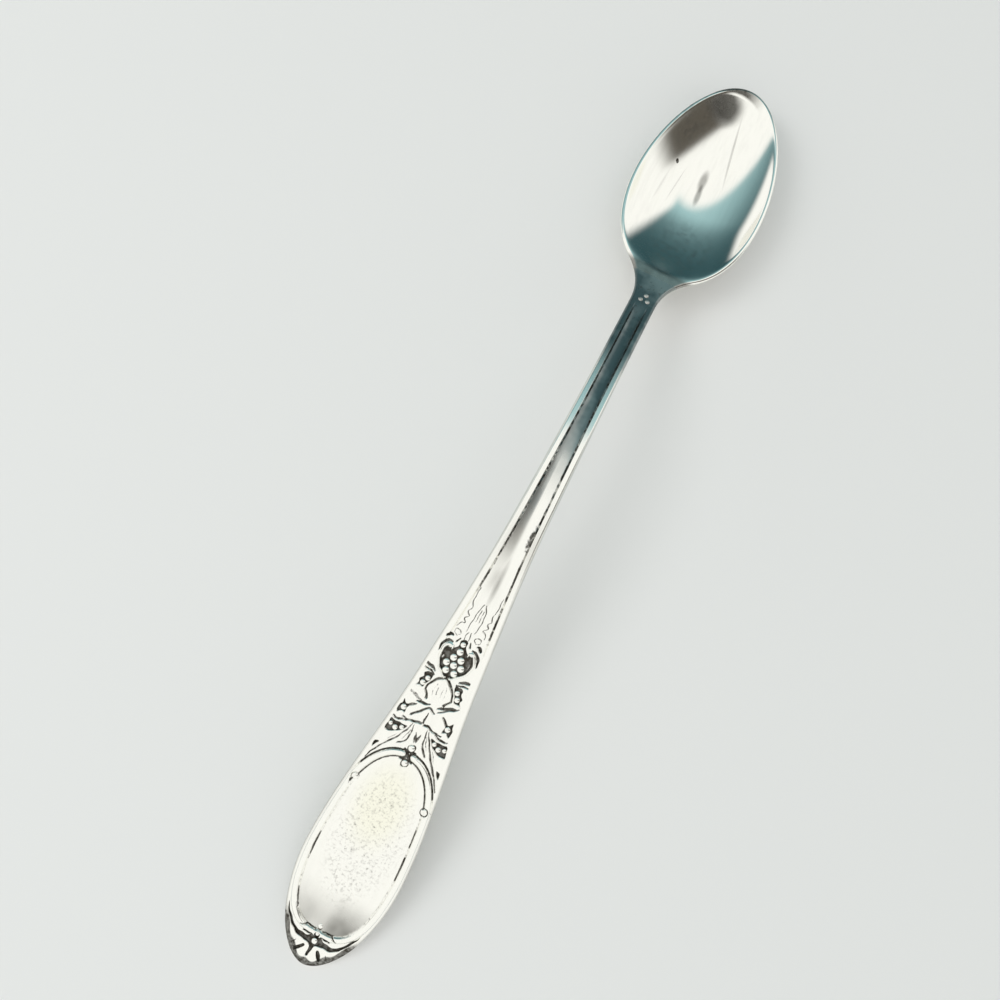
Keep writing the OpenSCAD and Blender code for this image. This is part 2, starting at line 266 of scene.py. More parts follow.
def mix_colour(tree, factor, first, second):
    node = add(tree, "ShaderNodeMix", data_type="RGBA")
    tree.links.new(factor, node.inputs["Factor"])
    for socket, value in ((node.inputs["A"], first), (node.inputs["B"], second)):
        if isinstance(value, bpy.types.NodeSocket):
            tree.links.new(value, socket)
        else:
            socket.default_value = (*value, 1)
    return node.outputs["Result"]


noise_roughness = 0.6


def noise(tree, vector, scale, detail):
    node = add(tree, "ShaderNodeTexNoise")
    tree.links.new(vector, node.inputs["Vector"])
    node.inputs["Scale"].default_value = scale
    node.inputs["Detail"].default_value = detail
    node.inputs["Roughness"].default_value = noise_roughness
    return node.outputs["Fac"]


def stretched(tree, vector, scale):
    node = add(tree, "ShaderNodeMapping")
    node.inputs["Scale"].default_value = scale
    tree.links.new(vector, node.inputs["Vector"])
    return node.outputs["Vector"]


film_roughness = 0.16
stain_roughness = 0.3
stain_depth = 0.5
rubbed_along = (45, 1300, 1300)

wear_and_reflection = bpy.data.node_groups.new("worn silver", "ShaderNodeTree")
for socket, kind in (("Place", "Vector"), ("Tarnish", "Float"), ("Film", "Float"), ("Silver", "Color"),
                     ("Stain_and_reflection", "Color"), ("Haze_and_reflection", "Color"), ("Polish", "Float"), ("Rubbing", "Float")):
    wear_and_reflection.interface.new_socket(socket, in_out="INPUT", socket_type="NodeSocket" + kind)
for socket, kind in (("Color", "Color"), ("Roughness", "Float"), ("Height", "Float")):
    wear_and_reflection.interface.new_socket(socket, in_out="OUTPUT", socket_type="NodeSocket" + kind)
worn_in = add(wear_and_reflection, "NodeGroupInput").outputs
worn_out = add(wear_and_reflection, "NodeGroupOutput").inputs
grain = noise(wear_and_reflection, worn_in["Place"], scale=2600, detail=4)
ragged = math_node(wear_and_reflection, "ADD", worn_in["Tarnish"], math_node(wear_and_reflection, "SUBTRACT", grain, 0.5))
kept_dark = map_range(wear_and_reflection, ragged, 0.35, 0.7, 0, 1)
cloud = map_range(wear_and_reflection, noise(wear_and_reflection, worn_in["Place"], scale=160, detail=3), 0.3, 0.7, 0.75, 1.15)
streaks = noise(wear_and_reflection, stretched(wear_and_reflection, worn_in["Place"], rubbed_along), scale=1, detail=4)
scored = math_node(wear_and_reflection, "MULTIPLY", streaks, worn_in["Rubbing"])
rubbed = math_node(wear_and_reflection, "MULTIPLY", map_range(wear_and_reflection, streaks, 0.4, 0.75, 0, 0.12), worn_in["Rubbing"])
film = math_node(wear_and_reflection, "ADD", math_node(wear_and_reflection, "MULTIPLY", worn_in["Film"], cloud), rubbed)
film = math_node(wear_and_reflection, "MINIMUM", film, 1)
film_and_reflection_colour = mix_colour(wear_and_reflection, film, worn_in["Silver"], worn_in["Haze_and_reflection"])
mottled = map_range(wear_and_reflection, noise(wear_and_reflection, worn_in["Place"], scale=1700, detail=3), 0.42, 0.66, 0, 0.95)
ground = mix_colour(wear_and_reflection, mottled, worn_in["Stain_and_reflection"], worn_in["Haze_and_reflection"])
dulled = math_node(wear_and_reflection, "ADD", worn_in["Polish"], math_node(wear_and_reflection, "MULTIPLY", film, film_roughness))
stained = math_node(wear_and_reflection, "MULTIPLY", kept_dark, stain_roughness)
pitted = math_node(wear_and_reflection, "MULTIPLY", kept_dark, stain_depth)
wear_and_reflection.links.new(mix_colour(wear_and_reflection, kept_dark, film_and_reflection_colour, ground), worn_out["Color"])
wear_and_reflection.links.new(math_node(wear_and_reflection, "ADD", dulled, stained), worn_out["Roughness"])
wear_and_reflection.links.new(math_node(wear_and_reflection, "SUBTRACT", scored, pitted), worn_out["Height"])


# Distance from the middle of an oval on the surface, seen from above: 1 on the oval itself
def oval_reach(tree, place, at, radii, turn=0):
    node = add(tree, "ShaderNodeMapping", vector_type="TEXTURE")
    node.inputs["Location"].default_value = ((at[0] - length / 2) / per_metre, at[1] / per_metre, 0)
    node.inputs["Rotation"].default_value = (0, 0, math.radians(turn))
    node.inputs["Scale"].default_value = (radii[0] / per_metre, radii[1] / per_metre, 1)
    tree.links.new(place, node.inputs["Vector"])
    reach = add(tree, "ShaderNodeVectorMath", operation="LENGTH")
    tree.links.new(node.outputs["Vector"], reach.inputs[0])
    return reach.outputs["Value"]


def oval_mark(tree, place, at, radii, strength, turn=0):
    return map_range(tree, oval_reach(tree, place, at, radii, turn), 1, 0.3, 0, strength)


plate = (0.965, 0.96, 0.905)
# The tarnish and the hazes also colour painted dark reflection
tarnish = (0.06, 0.053, 0.042)
haze_and_reflection_grey = (0.2, 0.195, 0.178)
# Teal grey for the painted dark reflection on the neck and the stem, and for their rubbing
teal_haze_and_reflection = (0.125, 0.165, 0.17)
mark_depth = 0.00002


# Silver whose marks, if any, add to the piece's own tarnish and film, painted dark reflection among them,
# or change the silver's colour
def silver(name, polish, rubbing, bump, marks=None, film_colour=haze_and_reflection_grey):
    material = bpy.data.materials.new(name)
    material.use_nodes = True
    tree = material.node_tree
    bsdf = tree.nodes["Principled BSDF"]
    bsdf.inputs["Metallic"].default_value = 1
    wear = add(tree, "ShaderNodeGroup", node_tree=wear_and_reflection)
    for socket, colour in (("Silver", plate), ("Stain_and_reflection", tarnish), ("Haze_and_reflection", film_colour)):
        wear.inputs[socket].default_value = (*colour, 1)
    wear.inputs["Polish"].default_value = polish
    wear.inputs["Rubbing"].default_value = rubbing
    place = add(tree, "ShaderNodeTexCoord").outputs["Object"]
    tree.links.new(place, wear.inputs["Place"])
    found = marks(tree, place) if marks else {}
    for kind, socket in (("tarnish", "Tarnish"), ("film", "Film")):
        amount = add(tree, "ShaderNodeAttribute", attribute_name=kind).outputs["Fac"]
        if socket in found:
            amount = math_node(tree, "ADD", amount, found[socket])
        tree.links.new(amount, wear.inputs[socket])
    if "Silver" in found:
        tree.links.new(found["Silver"], wear.inputs["Silver"])
    relief = add(tree, "ShaderNodeBump")
    relief.inputs["Strength"].default_value = bump
    relief.inputs["Distance"].default_value = mark_depth
    tree.links.new(wear.outputs["Height"], relief.inputs["Height"])
    tree.links.new(wear.outputs["Color"], bsdf.inputs["Base Color"])
    tree.links.new(wear.outputs["Roughness"], bsdf.inputs["Roughness"])
    tree.links.new(relief.outputs["Normal"], bsdf.inputs["Normal"])
    return material


# Dull marks in the bowl, each with its middle, radii, strength and turn: a long painted dark reflection in
# two parts along the middle, and three rubbed lines. Blotches lie in two areas.
painted_centre_reflection = (((125.5, 0.3), (2.3, 0.85), 0.6, 2), ((123, 0), (2.3, 0.62), 0.55, 4))
rubbed_lines = (((130.8, -1.75), (6.6, 0.24), 0.4, 12.4), ((122.6, 3.9), (3.8, 0.18), 0.22, -5),
                ((121, 5.9), (3.5, 0.26), 0.16, -3))
blotch_areas = (((132.5, 6.2), (7, 3.6)), ((111.5, -1), (8.5, 6.5)))


# One dark pit, a tip worn dull on both sides of a curved scratch, the blotches, the dull marks and the
# painted reflection
def bowl_marks(tree, place):
    pit = oval_mark(tree, place, (125.8, 5.3), (0.5, 0.36), 1.2, 20)
    scratch = oval_reach(tree, place, (130.5, 0.8), (8, 6.2))
    near_tip = oval_mark(tree, place, (138.6, 2.4), (3.4, 5.6), 1.4)
    near_scratch = oval_mark(tree, place, (136.4, 2.6), (3.2, 3.8), 1.2)
    worn_tip = math_node(tree, "MULTIPLY", map_range(tree, scratch, 1, 1.05, 0, 1), near_tip)
    inner_patch = math_node(tree, "MULTIPLY", map_range(tree, scratch, 0.99, 0.97, 0, 1), near_scratch)
    dark = math_node(tree, "ADD", pit, math_node(tree, "MULTIPLY", worn_tip, 0.35))
    dark = math_node(tree, "ADD", dark, math_node(tree, "MULTIPLY", inner_patch, 0.3))
    dull = math_node(tree, "ADD", math_node(tree, "MULTIPLY", worn_tip, 0.8), inner_patch)
    blotches = map_range(tree, noise(tree, place, scale=900, detail=4), 0.42, 0.68, 0, 0.3)
    for at, radii in blotch_areas:
        blotched = math_node(tree, "MULTIPLY", oval_mark(tree, place, at, radii, 1), blotches)
        dull = math_node(tree, "ADD", dull, blotched)
    for at, radii, strength, turn in painted_centre_reflection + rubbed_lines:
        dull = math_node(tree, "ADD", dull, oval_mark(tree, place, at, radii, strength, turn))
    return {"Tarnish": dark, "Film": dull}


bowl_silver = silver("bowl silver", polish=0.1, rubbing=0.45, bump=0.3, marks=bowl_marks)
bowl.data.materials.append(bowl_silver)
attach(bowl, "root")
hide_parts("bowl")

# Neck
# The neck is the same struck strip, drawn in between the stem and the bowl's heel. It slopes down from
# the arch, and the grooves and the flute of the stem run out on it.
neck_l = 8
crown_h = 14
crown_back = 33
stem_edge = 1.3
run_out = 3
border_w = 0.9
groove_w = 0.3
groove_d = 0.3
field_d = 0.15
border_share = 0.45
groove_share = 0.15
flute_d = 0.2
flute_from = 51.5
flute_in = 5
shank_edge = 0.45
neck_rings = 50
stain_at = 0.65
stain_w = 0.8
# Strength and stretches of the painted dark reflection on the edges, the flute's left side, the flute and
# the borders
painted_edge_reflection = 0.36
painted_left_reflection = 0.58
left_reflection_stretch = (57, 66)
flute_reflection_stretch = (65, 81)
borders_reflection_stretch = (80, 95)
# Strength and stretch of the painted dark reflection that deepens on the neck
painted_neck_dark = 0.34
painted_neck_stretch = (84, 97)

stem_to = heel - neck_l
crown = heel - crown_back


def arch(u):
    return cubic(u, crown, heel, crown_h, heel_h, 0, heel_slope)


def sunk(u):
    return 1 - smooth(stem_to, stem_to + run_out, u)


def neck_half(u):
    return np.where(u < flare_from, stem_w / 2, bowl_half(u))


# The two long grooves, their plain borders and the sunk field between them: depth and tarnish, which is
# thicker in some stretches than in others
def grooves(u, y, half):
    border = np.minimum(border_w, border_share * half)
    groove = np.clip(groove_share * half, tiny, groove_w)
    inside = half - np.abs(y)
    v = np.clip(1 - np.abs(inside - border - groove / 2) / (groove / 2), 0, 1)
    stain = np.clip(1 - np.abs(inside - border - groove * stain_at) / (groove * stain_w), 0, 1)
    field = smooth(border + groove * 0.5, border + groove, inside)
    side = np.sign(y)
    patchy = 0.6 + 0.09 * np.sin(0.83 * u + 1.3 * side)
    patchy = patchy + 0.09 * np.sin(2.9 * u + 2 * side) * np.sin(1.1 * u)
    return np.maximum(field_d * field, groove_d * smooth(0, 0.8, v)), patchy * smooth(0, 0.75, stain)


# The shallow flute along the middle of the field
def flute(u, y, half):
    field = half - np.minimum(border_w, border_share * half) - np.minimum(groove_w, groove_share * half)
    started = smooth(flute_from, flute_from + flute_in, u)
    return flute_d * started * sunk(u) * np.clip(1 - (y / np.maximum(field, tiny)) ** 2, 0, 1)


# Painted dark reflection greys the edges, and from the middle of the stem on first the flute's left side,
# then all of it
def shank_painted_reflection(u, y, half_at):
    half = half_at(u)
    fluted = smooth(0, 0.3, half - np.abs(y) - np.minimum(border_w, border_share * half))
    left = painted_left_reflection * smooth(0, 0.35, y) * smooth(*left_reflection_stretch, u)
    flute_painted_reflection = np.maximum(left, neck_painted_reflection * smooth(*flute_reflection_stretch, u))
    face = mix(neck_painted_reflection * smooth(*borders_reflection_stretch, u), flute_painted_reflection, fluted)
    return np.maximum(face, painted_edge_reflection * smooth(0.4, 0.1, from_outline(u, y, half_at)))


# Painted dark reflection that deepens towards the bowl's heel, carried in the tarnish
def painted_neck_darkening(u):
    return painted_neck_dark * smooth(*painted_neck_stretch, u) * smooth(heel, heel - 1, u)


def neck_top(u, y):
    half = neck_half(u)
    depth, dark = grooves(u, y, half)
    dark = np.maximum(dark * sunk(u), painted_neck_darkening(u))
    return arch(u) - depth * sunk(u) - flute(u, y, half), dark, shank_painted_reflection(u, y, neck_half)


def neck_back(u, y):
    edge = mix(stem_edge, rim_t, smooth(stem_to, heel, u))
    side = np.clip(1 - (y / neck_half(u)) ** 2, 0, 1)
    return arch(u) - edge - (stem_t - edge) * side ** back_round


neck = skin("neck", np.linspace(stem_to, heel, neck_rings), neck_half, neck_top, neck_back, shank_edge)
neck_silver = silver("neck silver", polish=0.18, rubbing=0.4, bump=0.4, film_colour=teal_haze_and_reflection)
neck.data.materials.append(neck_silver)
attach(neck, "root")
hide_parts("neck")

# Stem
# The slim stem is the middle of the strip. Two struck grooves leave a plain border on each side and a
# shallow flute between them, and old tarnish lies in the grooves.
handle_l = 62
handle_w = 13.9
handle_widest = 14
shoulder_w = 8.2
shoulder_at = 40
stem_low_w = 4.84
tip_t = 1.35
tip_slope = 0.18
stem_rings = 150
blotch_at = (61.4, -1.14)
blotch_r = (2.6, 0.42)

shoulder_slope = (stem_low_w - handle_w) / 2 / (handle_l - handle_widest)
stem_slope = (stem_w - shoulder_w) / 2 / (flare_from - shoulder_at)


def rise(u):
    return cubic(u, 0, crown, tip_t, crown_h, tip_slope, 0)


def stem_spine(u):
    return np.where(u < crown, rise(u), arch(u))


def stem_half(u):
    return cubic(u, handle_l, flare_from, stem_low_w / 2, stem_w / 2, stem_slope, 0)


# A thick patch of tarnish beside the right-hand groove, where the handle runs into the stem
def blotch(u, y):
    reach = np.hypot((u - blotch_at[0]) / blotch_r[0], (y - blotch_at[1]) / blotch_r[1])
    return 0.75 * np.clip(1 - reach, 0, 1) ** 0.5


def stem_top(u, y):
    half = stem_half(u)
    depth, dark = grooves(u, y, half)
    dark = np.maximum(dark, np.maximum(blotch(u, y), painted_neck_darkening(u)))
    return stem_spine(u) - depth - flute(u, y, half), dark, shank_painted_reflection(u, y, stem_half)


def stem_back(u, y):
    side = np.clip(1 - (y / stem_half(u)) ** 2, 0, 1)
    return stem_spine(u) - stem_edge - (stem_t - stem_edge) * side ** back_round


stem_places = np.linspace(handle_l, stem_to, stem_rings)
stem = skin("stem", stem_places, stem_half, stem_top, stem_back, shank_edge)
stem_silver = silver("stem silver", polish=0.18, rubbing=0.25, bump=0.4, film_colour=teal_haze_and_reflection)
stem.data.materials.append(stem_silver)
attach(stem, "root")
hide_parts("stem")

# Handle
# The broad handle end is struck in low relief: a plain oval panel in a raised frame, then ribbons, a vine
# leaf, a heart-shaped scroll for berries and two small scrolls, with dark ground left between them.
handle_t = 1.8
handle_edge = 1
tip_fullness = 1.85
panel_from = 4.6
panel_l = 25.6
panel_fullness = 2.3
panel_low_fullness = 2.9
frame_w = 0.8
frame_h = 0.3
frame_clear = 0.8
border_from = 25.2
ground_d = 0.34
side_bead = (24.8, 4.95)
top_beads = (29.18, 31.22)
curve_steps = 6
path_margin = 0.6
outside = -1.0


def handle_half(u):
    off_widest = np.abs(1 - u / handle_widest)
    tip = handle_w / 2 * np.clip(1 - off_widest ** tip_fullness, 0, 1) ** (1 / tip_fullness)
    upper = cubic(u, handle_widest, shoulder_at, handle_w / 2, shoulder_w / 2, 0, shoulder_slope)
    low = cubic(u, shoulder_at, handle_l, shoulder_w / 2, stem_low_w / 2, shoulder_slope, stem_slope)
    return np.where(u < 0, 0, np.where(u < handle_widest, tip, np.where(u < shoulder_at, upper, low)))


# A smooth curve through the given places, open or closed, with any widths that they carry
def curve(places, closed):
    p = np.array(places, dtype=float)
    if not closed:
        p = np.concatenate([2 * p[:1] - p[1:2], p, 2 * p[-1:] - p[-2:-1]])
    start = np.roll(p, -1, 0)
    end = np.roll(p, -2, 0)
    after = np.roll(p, -3, 0)
    t = np.linspace(0, 1, curve_steps + 1)[:-1, None, None]
    spans = start + t / 2 * (end - p) + t ** 2 * (p - 2.5 * start + 2 * end - after / 2)
    spans = spans + t ** 3 / 2 * (3 * start - p - 3 * end + after)
    if closed:
        return spans.transpose(1, 0, 2).reshape(-1, p.shape[1])
    return np.concatenate([spans[:, :-3].transpose(1, 0, 2).reshape(-1, p.shape[1]), p[-2:-1]])


# Distance of every point from a path, and how far along the path its nearest place lies
def near_path(u, y, path):
    best = np.full(u.shape, np.inf)
    along = np.zeros(u.shape)
    pieces = len(path) - 1
    for i in range(pieces):
        (u0, y0), (u1, y1) = path[i], path[i + 1]
        t = np.clip(((u - u0) * (u1 - u0) + (y - y0) * (y1 - y0)) / ((u1 - u0) ** 2 + (y1 - y0) ** 2), 0, 1)
        distance = np.hypot(u - u0 - t * (u1 - u0), y - y0 - t * (y1 - y0))
        along = np.where(distance < best, (i + t) / pieces, along)
        best = np.minimum(best, distance)
    return best, along


def close_to(u, y, path):
    low = path.min(0) - path_margin
    high = path.max(0) + path_margin
    return (u > low[0]) & (u < high[0]) & (y > low[1]) & (y < high[1])


# How far a point lies inside a line through places that carry a width, an area with corners, or an oval
def stroke(u, y, places):
    path = curve(places, False)
    inside = np.full(u.shape, outside)
    near = close_to(u, y, path[:, :2])
    distance, along = near_path(u[near], y[near], path[:, :2])
    inside[near] = np.interp(along, np.linspace(0, 1, len(path)), path[:, 2]) / 2 - distance
    return inside


def area(u, y, corners):
    path = curve(corners, True)
    path = np.concatenate([path, path[:1]])
    inside = np.full(u.shape, outside)
    near = close_to(u, y, path)
    distance, _ = near_path(u[near], y[near], path)
    odd = np.zeros(distance.shape, dtype=bool)
    for (u0, y0), (u1, y1) in zip(path[:-1], path[1:]):
        if y0 != y1:
            crossing = u0 + (y[near] - y0) * (u1 - u0) / (y1 - y0)
            odd ^= ((y0 > y[near]) != (y1 > y[near])) & (u[near] < crossing)
    inside[near] = np.where(odd, distance, -distance)
    return inside


def oval(u, y, at, radii):
    return (1 - np.hypot((u - at[0]) / radii[0], (y - at[1]) / radii[1])) * min(radii)


# The face of the handle as the die leaves it: its level over the border, the tarnish that it keeps and
# its dull film, which also takes painted dark reflection. Most motifs are cut into it alike on both sides,
# with the wander of a hand-cut die, whose design leans to the left beside the leaf.
lean = 0.27
line_spread = 0.05
line_soft = 0.12
plain_border = 0.55


def wander(u):
    leaning = lean * smooth(27, 35, u) * smooth(53, 45, u)
    return leaning + 0.06 * np.sin(1.1 * u + 0.8) + 0.03 * np.sin(4.7 * u)


class Face:
    def __init__(self, u, y):
        self.u = u + 0.05 * np.sin(1.7 * y + 0.6) + 0.04 * np.sin(5.3 * y + 0.4 * u)
        self.side = y - wander(u)
        self.v = np.abs(self.side)
        self.inward = from_outline(u, y, handle_half)
        self.level = np.full(u.shape, -field_d)
        self.dark = np.zeros(u.shape)
        self.film = np.zeros(u.shape)

    def sink(self, inside, depth=ground_d, stain=1.0, soft=0.15):
        cut = smooth(0, soft, inside)
        self.level = np.minimum(self.level, mix(self.level, -field_d - depth, cut))
        self.dark = np.maximum(self.dark, stain * smooth(0, soft * 0.7, inside))

    def lift(self, inside, height, soft):
        self.level = np.maximum(self.level, mix(self.level, height, smooth(0, soft, inside)))
        self.dark = self.dark * (1 - smooth(0, soft / 2, inside))

    def lines(self, strokes, depth=0.14, stain=0.7, one_sided=False):
        for places in strokes:
            inside = stroke(self.u, self.side if one_sided else self.v, places) + line_spread
            self.sink(np.minimum(inside, self.inward - plain_border), depth, stain, line_soft)

    def pocket(self, corners, border=plain_border, stain=1.0):
        self.sink(np.minimum(area(self.u, self.v, corners), self.inward - border), stain=stain)


# The tip: a channel of dark ground round the low end of the panel, and a scalloped crest with notches
def cut_tip(face):
    face.pocket([(2.7, -0.6), (2.75, 0.1), (2.95, 0.6), (3.1, 1.2), (3.12, 2), (3.4, 2.8), (4.3, 3.8),
                 (5.4, 4.65), (6.5, 5.2), (7.3, 5.5), (6.4, 4.95), (5.5, 4.3), (4.7, 3.6), (4.05, 2.9),
                 (3.85, 2.1), (3.9, 1.2), (4.3, 0.55), (4.4, -0.6)], 0.4)
    face.lines([[(1.6, 0, 0.3), (2.2, 0, 0.36), (2.9, 0, 0.6)],
                [(2.45, 1.05, 0.36), (2.1, 1.3, 0.42), (1.5, 1.75, 0.36)]], ground_d, 1)
    face.lines([[(2.55, 2.2, 0.12), (2.15, 2.5, 0.16)]], 0.1, 0.75)


# The panel's raised frame, with volutes at both ends, a dark bow between the beads at its top, and fine
# lines beside it that have worn away in places
rule_half = 0.17
rule_gap = 0.08
outer_rule_from = 25


def cut_frame(face, u, y):
    panel_middle = panel_from + panel_l / 2
    angles = np.radians(np.arange(0, 181, 3))
    turned = np.cos(angles)
    fullness = np.where(turned < 0, panel_low_fullness, panel_fullness)
    frame_u = panel_middle + panel_l / 2 * np.sign(turned) * np.abs(turned) ** (2 / fullness)
    frame_y = (handle_w / 2 - frame_clear) * np.sin(angles).clip(0) ** (2 / fullness)
    frame_y = np.minimum(frame_y, np.maximum(handle_half(frame_u) - frame_clear, 0))
    off_frame, _ = near_path(u, np.abs(y), np.stack([frame_u, frame_y], 1))
    within = np.abs(y) < np.interp(u, frame_u[::-1], frame_y[::-1])
    out = np.where(within & (np.abs(u - panel_middle) < panel_l / 2), -off_frame, off_frame)
    left_dark = smooth(12.6, 13.8, u) * smooth(17, 15.8, u)
    left_dark = left_dark + 0.8 * smooth(6.2, 6.8, u) * smooth(9.2, 8.4, u)
    right_dark = smooth(15, 15.8, u) * smooth(19.4, 18, u)
    right_dark = right_dark + 0.7 * smooth(19, 20, u) * smooth(23, 22, u)
    kept = np.maximum(mix(0.4, 0.8, smooth(24, 26, u)), np.where(y > 0, left_dark, right_dark))
    inner_rule = rule_half - np.abs(out + frame_w / 2 + rule_gap)
    outer_rule = np.where(u > outer_rule_from, rule_half - np.abs(out - frame_w / 2 - rule_gap), outside)
    face.sink(inner_rule, 0.08, kept, line_soft)
    face.sink(outer_rule, 0.1, smooth(25.5, 27.5, u), line_soft)
    moulding = np.sqrt(np.clip(1 - (off_frame / (frame_w / 2)) ** 2, 0, 1))
    face.level = np.maximum(face.level, np.where(moulding > 0, -field_d + frame_h * moulding, -np.inf))
    face.dark = np.where(moulding > 0.35, 0, face.dark)
    face.sink(oval(face.u, face.v, (4.48, 0), (0.45, 0.4)), ground_d * 0.8)
    face.sink(oval(face.u, face.v, (5.55, 0), (0.46, 0.42)), 0.08, 0.6)
    face.lines([[(4.26, 0.7, 0.26), (4.28, 1.3, 0.3), (4.18, 1.85, 0.2)],
                [(5, 0.5, 0.1), (5.16, 1, 0.14), (5.14, 1.6, 0.16), (4.92, 2.1, 0.16), (4.74, 2.6, 0.1)],
                [(29.5, 0.85, 0.2), (29.7, 0.4, 0.4), (30.2, 0.1, 0.36)],
                [(30.2, 0.1, 0.36), (30.62, 0.3, 0.36), (30.8, 0.75, 0.24)]], 0.22, 0.9)
    face.lift(oval(face.u, face.v, (4.72, 1.28), (0.3, 0.64)), 0.16, 0.24)
    face.lift(oval(face.u, face.v, (30.2, 0.9), (0.36, 0.34)), 0.14, 0.24)
    for at in top_beads:
        face.sink(oval(face.u, face.v, (at, 0), (0.6, 0.6)), 0.16, 0.9)
    ring = np.hypot(u - side_bead[0], np.abs(y) - side_bead[1])
    face.sink(0.1 - np.abs(ring - 0.5), 0.06, np.where(y < 0, 0.92, 0.45), 0.1)
    face.lines([[(23.8, 5.2, 0.1), (24.2, 5.22, 0.3), (24.45, 5.05, 0.14)]], 0.05, 0.85, one_sided=True)
    # A painted grey reflection over the low end of the panel, stronger on the right side
    painted_end_spread = 0.45 + 0.55 * smooth(0.2, -1.6, y) + 0.2 * smooth(1, 2.6, y)
    painted_grey_end = smooth(11.4, 5.4, u) * smooth(0.35, 0.7, -out) * painted_end_spread
    face.film = np.maximum(face.film, 0.85 * painted_grey_end)


# Berries in pockets of their own beside the leaf: place along, place across and radius
pips = ((32.62, 3.1, 0.35), (33, 2.35, 0.3), (32.85, 3.85, 0.28), (35.4, 3.15, 0.38), (39.25, 2.45, 0.36),
        (40, 2.1, 0.34))
pocket_stain = 0.82


# Ribbons from the panel's frame to the foot of the leaf, and ragged pockets for the berries
def cut_ribbons(face):
    face.lines([[(27.6, 5, 0.12), (29, 4.3, 0.2), (30.2, 3.5, 0.22), (31.2, 2.7, 0.24), (32.2, 2.05, 0.22),
                 (33.2, 1.5, 0.2), (34.1, 1.15, 0.12)],
                [(31, 2, 0.2), (31.5, 1.45, 0.22), (32.2, 1.05, 0.24), (33.2, 0.95, 0.2),
                 (34.1, 0.92, 0.12)],
                [(32.1, 0.12, 0.12), (32.6, 0.16, 0.42), (33.3, 0.34, 0.14)],
                [(33.95, 3.85, 0.22), (33.8, 3.1, 0.34), (34.05, 2.1, 0.2)]])
    face.lines([[(31.7, 1.72, 0.1), (32.6, 1.33, 0.15), (33.5, 1.1, 0.08)],
                [(30.9, 3.3, 0.1), (31.6, 2.85, 0.14), (32.1, 2.5, 0.08)]], 0.06, 0.62)
    face.pocket([(29.1, 4.75), (30, 4.7), (30.2, 4.05), (29.8, 4.25)], stain=pocket_stain)
    face.pocket([(31.95, 4.3), (32, 3.3), (32.5, 2.4), (33.35, 1.65), (33.45, 2.4), (33.45, 3.2),
                 (33.55, 4), (32.8, 4.2)], stain=pocket_stain)
    face.pocket([(34.55, 3.7), (34.9, 3.2), (34.75, 2.65), (35.4, 2.7), (35.9, 2.6), (36.05, 3.15),
                 (36.55, 3.55), (35.9, 3.6), (35.4, 3.9)], stain=pocket_stain)
    face.pocket([(38.5, 3.4), (38.75, 2.85), (38.65, 2.25), (39.4, 1.95), (40.1, 1.6), (40.75, 1.6),
                 (40.8, 2.25), (40.5, 2.75), (40, 2.7), (39.6, 3.1), (39.1, 2.95)], stain=pocket_stain)


# The vine leaf, drawn by the dark outlines and veins between its lobes, which differ from side to side
def cut_leaf(face):
    face.lines([[(34.3, 2.75, 0.18), (34.2, 2, 0.22), (34.35, 1.3, 0.26), (34.58, 0.75, 0.32),
                 (34.6, 0.25, 0.3)],
                [(35.85, 2.75, 0.3), (36.2, 2.3, 0.28), (36.5, 1.85, 0.12)],
                [(37.75, 1.22, 0.36), (38.15, 1.42, 0.24), (38.65, 1.8, 0.2)],
                [(38.65, 1.85, 0.22), (39.4, 1.68, 0.24), (40.1, 1.2, 0.28), (40.7, 0.7, 0.28),
                 (41, 0.12, 0.28)],
                [(40.75, 1.55, 0.16), (41, 2.2, 0.28), (41.2, 3.05, 0.14)],
                [(41.25, 1.75, 0.2), (41.5, 2.3, 0.44), (41.75, 2.95, 0.3)]], 0.24)
    face.lines([[(35, 1.85, 0.3), (35.8, 1.15, 0.26), (36.5, 0.6, 0.28), (36.8, 0.05, 0.26),
                 (36.35, -0.75, 0.14)],
                [(36.85, 2.1, 0.16), (36.95, 1.3, 0.32), (37.25, 0.4, 0.16)],
                [(36.65, -1, 0.16), (37.3, -1.75, 0.22), (37.9, -2.6, 0.26), (38.3, -3.15, 0.16)],
                [(37.15, -0.7, 0.2), (37.4, -1.3, 0.34), (37.85, -2.15, 0.3), (38.15, -2.75, 0.18)]],
               0.2, 0.8, one_sided=True)
    face.lines([[(37.1, 1.7, 0.3), (37.4, 2.5, 0.42), (37.8, 3.3, 0.3)]], 0.05, 0.58, one_sided=True)
    face.lines([[(34.75, 0, 0.2), (35.4, 0, 0.24), (36.2, 0, 0.1)]], 0.16, 0.9)
    face.lines([[(38.6, 0.3, 0.12), (39.6, 0.35, 0.14)],
                [(39.3, 0.8, 0.1), (40, 0.62, 0.12)],
                [(38.3, 0.75, 0.08), (39, 0.85, 0.1)]], 0.05, 0.58)


